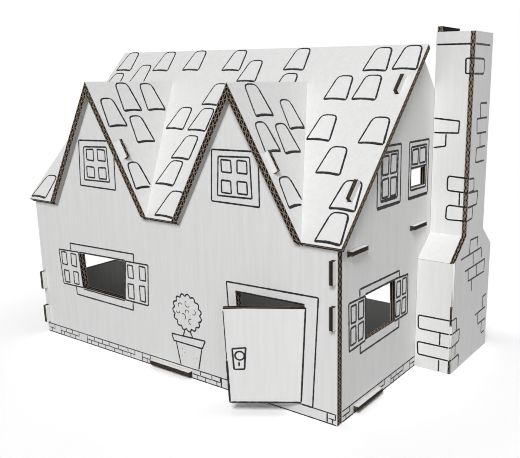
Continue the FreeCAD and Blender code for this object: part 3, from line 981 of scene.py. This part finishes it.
# %% Print on the chimney's side
# distances from the middle of the flue, and heights from the table
FOOT = -HALF_FOOT
STACK = stack_front - FLUE_CENTRE + 0.3
SIDE_BRICKS = (
    ((-25.2, 365), (17.5, 365)),
    ((STACK, 350), (1, 350), (3.4, 348), (3.2, 336), (1, 334.2), (STACK, 334.2)),
    ((-0.4, 286.2), (-2.7, 302.6), (17.5, 302.6)),
    ((-10.9, 286), (19.9, 286.3)),
    ((-8.8, 269.7), (19.1, 270)),
    ((-10.9, 286), (-8.8, 269.7)),
    ((0.5, 268.5), (2.5, 253.8)),
    ((-8.1, 253.7), (18.2, 254.2)),
    ((-8.1, 253.7), (-9, 237.6), (17.3, 237.7)),
    ((STACK, 221), (-11.3, 220.4), (-9.6, 206.6), (STACK, 205.6)),
    ((STACK, 205.4), (3, 204.2), (0.4, 189), (STACK, 189)),
    ((STACK, 188.8), (-10.3, 188.4), (-11.6, 174.7), (STACK, 173.6)),
    ((-12.9, 149.3), (10.5, 148.7), (8.8, 137.5)),
    ((-12.9, 149.3), (-14, 133)),
    ((-38.9, 131.7), (23.9, 133.1)),
    ((-1.8, 131), (-0.3, 117.3)),
    ((24.1, 131.8), (25.7, 120.3)),
    ((-25.3, 114.9), (38.1, 115.8)),
    ((-15.3, 114.2), (-13.7, 100.5), (36.9, 100)),
    ((10.1, 115.3), (12.1, 100.6)),
    ((36.5, 115.3), (36.8, 101.3)),
    ((-3.5, 99.5), (-1.9, 85.1)),
    ((48.4, 68), (36.6, 66.8), (38.5, 53.2)),
    ((13.8, 50.4), (47.4, 51.2)),
    ((23.7, 49.9), (23.8, 36.9)),
    ((24, 35.5), (49.7, 35.3)),
    ((37.6, 35.1), (37.9, 20.4)),
    ((38.1, 19.1), (48.4, 19.6)),
    ((FOOT, 65), (-45, 65.3), (-43, 63), (-43, 51), (-45, 49.4)),
    ((FOOT, 48.4), (-34, 48.8), (-34, 34), (-45, 33)),
    ((FOOT, 32.3), (-44, 33), (-44, 19)),
    ((FOOT, 16.6), (-33, 17), (-33, 2.7)),
)
side = Drawing("chimney_side_print", SIDE.matrix(), step=ROUND_A_FOLD, heavier=1.15)
draw(side, SIDE_BRICKS)
side.print_on(round_the_fold)

# %% [markdown]
# ## A white floor
#
# The house stands on a floor that fades into a white world. A curved sheet behind it would do the
# same in a studio, but it would throw light back at the house. Here the Light Path node tells what
# is asking. To light on its way round the set, floor and world are dim. To the camera the world is
# white, and so is the floor far off and behind the house, while the floor near the house is a bright
# matt surface that still darkens where the house keeps the light off it.

# %% What the camera sees
def larger(tree, one, other):
    """The larger of two values."""
    node = tree.nodes.new("ShaderNodeMath")
    node.operation = "MAXIMUM"
    tree.links.new(one, node.inputs[0])
    tree.links.new(other, node.inputs[1])
    return node.outputs[0]


def seen_by_eye(tree):
    """1 for rays from the camera, also by way of a mirror or glass, and 0 for light falling on things."""
    path = tree.nodes.new("ShaderNodeLightPath")
    eye = larger(tree, path.outputs["Is Camera Ray"], path.outputs["Is Glossy Ray"])
    return larger(tree, eye, path.outputs["Is Transmission Ray"])


def mixed(tree, factor, at_zero, at_one):
    """One surface where factor is 0, another where it is 1."""
    mix = tree.nodes.new("ShaderNodeMixShader")
    tree.links.new(factor, mix.inputs["Fac"])
    tree.links.new(at_zero.outputs[0], mix.inputs[1])
    tree.links.new(at_one.outputs[0], mix.inputs[2])
    return mix


def ramp_between(tree, value, start, stop):
    """0 where value is at start or before it, 1 from stop on, with a soft rise between."""
    ramp = tree.nodes.new("ShaderNodeMapRange")
    ramp.interpolation_type = "SMOOTHSTEP"
    ramp.inputs["From Min"].default_value = start
    ramp.inputs["From Max"].default_value = stop
    tree.links.new(value, ramp.inputs["Value"])
    return ramp.outputs["Result"]

# %% How the floor looks
NEAR_FLOOR = 1.3          # how bright the camera sees it close by
LIT_FLOOR = 0.5           # how bright it is for the light that it throws back
back_edge = (HOUSE @ Vector((0, DEPTH, 0))).y
BEHIND = (back_edge - 0.03, back_edge + 0.02)            # where it fades to the rear, in metres
ROUND = (0.28, 0.45)                                     # and on all sides, from the middle
sweep = bpy.data.materials.new("studio_sweep")
sweep.use_nodes = True
tree = sweep.node_tree
tree.nodes.remove(tree.nodes["Principled BSDF"])
where = tree.nodes.new("ShaderNodeTexCoord")
apart = tree.nodes.new("ShaderNodeSeparateXYZ")
away = tree.nodes.new("ShaderNodeVectorMath")
away.operation = "LENGTH"
tree.links.new(where.outputs["Object"], apart.inputs["Vector"])
tree.links.new(where.outputs["Object"], away.inputs[0])
faded = larger(tree, ramp_between(tree, apart.outputs["Y"], *BEHIND),
               ramp_between(tree, away.outputs["Value"], *ROUND))
near = tree.nodes.new("ShaderNodeBsdfDiffuse")
near.inputs["Color"].default_value = (NEAR_FLOOR, NEAR_FLOOR, NEAR_FLOOR, 1)
far = tree.nodes.new("ShaderNodeEmission")
far.inputs["Strength"].default_value = 1
for_eye = mixed(tree, faded, near, far)
for_light = tree.nodes.new("ShaderNodeBsdfDiffuse")
for_light.inputs["Color"].default_value = (LIT_FLOOR, LIT_FLOOR, LIT_FLOOR, 1)
both = mixed(tree, seen_by_eye(tree), for_light, for_eye)
tree.links.new(both.outputs[0], tree.nodes["Material Output"].inputs["Surface"])

# %% Floor and world
FLOOR_SIZE = 12
bm = bmesh.new()
bmesh.ops.create_grid(bm, x_segments=1, y_segments=1, size=FLOOR_SIZE / 2)
mesh = bpy.data.meshes.new("studio_floor")
bm.to_mesh(mesh)
bm.free()
mesh.materials.append(sweep)
studio_floor = bpy.data.objects.new("studio_floor", mesh)
bpy.context.scene.collection.objects.link(studio_floor)

world = bpy.data.worlds.new("studio")
bpy.context.scene.world = world
world.use_nodes = True
tree = world.node_tree
for_light = tree.nodes["Background"]
for_eye = tree.nodes.new("ShaderNodeBackground")
for background, strength in ((for_light, 0.13), (for_eye, 1)):
    background.inputs["Color"].default_value = (1, 1, 1, 1)
    background.inputs["Strength"].default_value = strength
both = mixed(tree, seen_by_eye(tree), for_light, for_eye)
tree.links.new(both.outputs[0], tree.nodes["World Output"].inputs["Surface"])
print("floor %d m wide, white from %.2f m out" % (FLOOR_SIZE, ROUND[1]))

# %% [markdown]
# ## Light
#
# White board shows its folds only by small steps in tone, so each face needs its own amount of
# light. A large key light from the front right, rather high, gives the front wall and the roof their
# tone, and a weaker one near it, low down, reaches under the eaves and the chimney's shoulder. Two
# faint ones lighten the faces that look back or to the left. All of them are large beside the house,
# so its shadows are soft, and the dim world keeps slots and rooms from turning black.

# %% Soft light
def soft_light(name, turn, height, distance, size, strength):
    """A square light aimed at the house, turn degrees to the right of its front and height up."""
    turn, height = math.radians(turn), math.radians(height)
    way = Vector((math.sin(turn) * math.cos(height), -math.cos(turn) * math.cos(height), math.sin(height)))
    data = bpy.data.lights.new(name, "AREA")
    data.size = size
    data.energy = strength * (math.pi * distance) ** 2
    lamp = bpy.data.objects.new(name, data)
    lamp.location = HOUSE @ Vector((WIDTH / 2, DEPTH / 2, EAVE)) + way * distance
    lamp.rotation_euler = way.to_track_quat("Z", "Y").to_euler()
    bpy.context.scene.collection.objects.link(lamp)


soft_light("key_light", turn=26, height=43, distance=6.0, size=1.8, strength=0.69)
soft_light("fill_light", turn=40, height=8, distance=5.0, size=2.0, strength=0.195)
soft_light("back_light", turn=140, height=12, distance=3.0, size=1.6, strength=0.085)
soft_light("left_light", turn=250, height=15, distance=3.0, size=1.6, strength=0.13)

# %% [markdown]
# ## Camera
#
# The house is seen from its front right corner, from about the height of its ridge and less than a
# metre away, which is close enough for the walls to draw together a little with distance. The lens
# is shifted so that the house fills the picture without turning the camera off it.

# %% Camera
camera_data = bpy.data.cameras.new("camera")
camera_data.lens = 45.8
camera_data.shift_x = -0.1373
camera_data.shift_y = 0.0071
camera_data.clip_end = 50
camera = bpy.data.objects.new("camera", camera_data)
camera.location = HOUSE @ Vector((773.2, -490.1, 329.9))
camera.rotation_euler = (math.radians(90 - 13.18), 0, math.radians(33.22))
bpy.context.scene.collection.objects.link(camera)
bpy.context.scene.camera = camera

bpy.context.scene.view_settings.view_transform = "Standard"
bpy.context.scene.cycles.filter_width = 1.0              # narrow, so that flutes and ink stay crisp
print("camera %.2f m from the corner" % (camera.location - HOUSE @ (X * WIDTH)).length)
